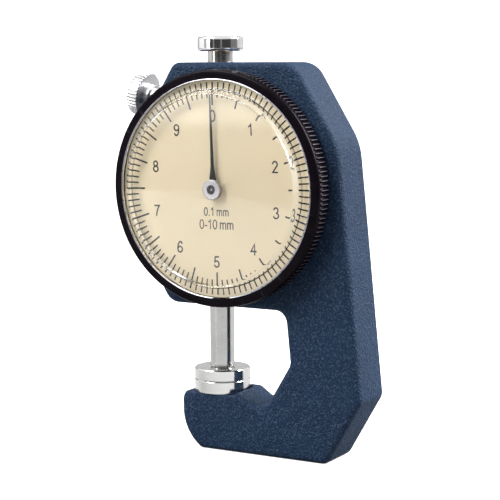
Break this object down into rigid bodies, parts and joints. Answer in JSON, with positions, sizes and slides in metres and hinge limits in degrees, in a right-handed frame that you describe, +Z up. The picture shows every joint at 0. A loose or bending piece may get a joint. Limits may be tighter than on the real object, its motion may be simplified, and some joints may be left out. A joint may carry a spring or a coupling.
{
  "type": "dial thickness gauge",
  "caption": "Hand-held dial thickness gauge: C-frame with slanted spine, sprung spindle over a flat anvil, rack-driven pointer, turning bezel, lifting knob and lock screw",
  "frame": {"origin": "on the foot plane, directly below the spindle axis, in the middle of the casting's thickness", "axes": "+Z up along the spindle, -Y out of the dial, +X towards the spine"},
  "size_m": [0.0478, 0.0154, 0.0729],
  "materials": {
    "blue_paint": "textured blue paint on a casting",
    "brass": "turned brass",
    "polished_steel": "ground and polished steel",
    "bright_chrome": "bright chrome",
    "plain_steel": "turned steel",
    "blued_steel": "blued spring steel",
    "black_paint": "satin black paint",
    "black_anodised": "satin black",
    "cream_dial": "matt cream enamel",
    "clear_acrylic": "clear acrylic"
  },
  "bodies": {
    "body": {"frame": "blue_paint", "upper_bush": "brass", "lower_bush": "brass", "lower_anvil": "polished_steel", "spring_post": "plain_steel", "return_spring": "plain_steel", "movement_plate": "brass", "plate_screws": "plain_steel", "front_bearing": "brass", "rear_bearing": "brass", "hairspring": "blued_steel", "hairspring_stud": "brass", "bezel_spring": "plain_steel"},
    "plunger": {"spindle": "polished_steel", "upper_contact": "polished_steel", "lifting_knob": "bright_chrome", "guide_pin": "plain_steel", "spring_pin": "plain_steel"},
    "hand": {"pinion_arbor": "plain_steel", "pointer": "black_paint", "pointer_hub": "plain_steel"},
    "dial_unit": {"bezel": "black_anodised", "dial_plate": "cream_dial", "crystal": "clear_acrylic", "crystal_ring": "bright_chrome"},
    "lock_tip": {"lock_pad": "brass"},
    "lock_knob": {"lock_screw": "bright_chrome"}
  },
  "joints": [
    {"name": "spindle_lift", "type": "slide", "parent": "body", "child": "plunger", "axis": [0, 0, 1], "range_m": [0, 0.0105], "stiffness_N_per_m": 60, "springref_m": -0.012, "deforming": ["return_spring"]},
    {"name": "pointer_turn", "type": "hinge", "parent": "body", "child": "hand", "pos_m": [0.00351, 0, 0.0468], "axis": [0, 1, 0], "range_deg": [0, 378]},
    {"name": "bezel_turn", "type": "hinge", "parent": "body", "child": "dial_unit", "pos_m": [0.00351, 0, 0.0468], "axis": [0, 1, 0], "continuous": true},
    {"name": "lock_advance", "type": "slide", "parent": "body", "child": "lock_tip", "axis": [0.9781, 0, -0.2079], "range_m": [0, 0.00025]},
    {"name": "lock_turn", "type": "hinge", "parent": "lock_tip", "child": "lock_knob", "pos_m": [0, 0, 0.05935], "axis": [0.9781, 0, -0.2079], "range_deg": [0, 180]}
  ],
  "couplings": [
    {"joint": "pointer_turn", "follows": "spindle_lift", "rad_per_m": 628.32},
    {"joint": "lock_turn", "follows": "lock_advance", "rad_per_m": 12566}
  ]
}
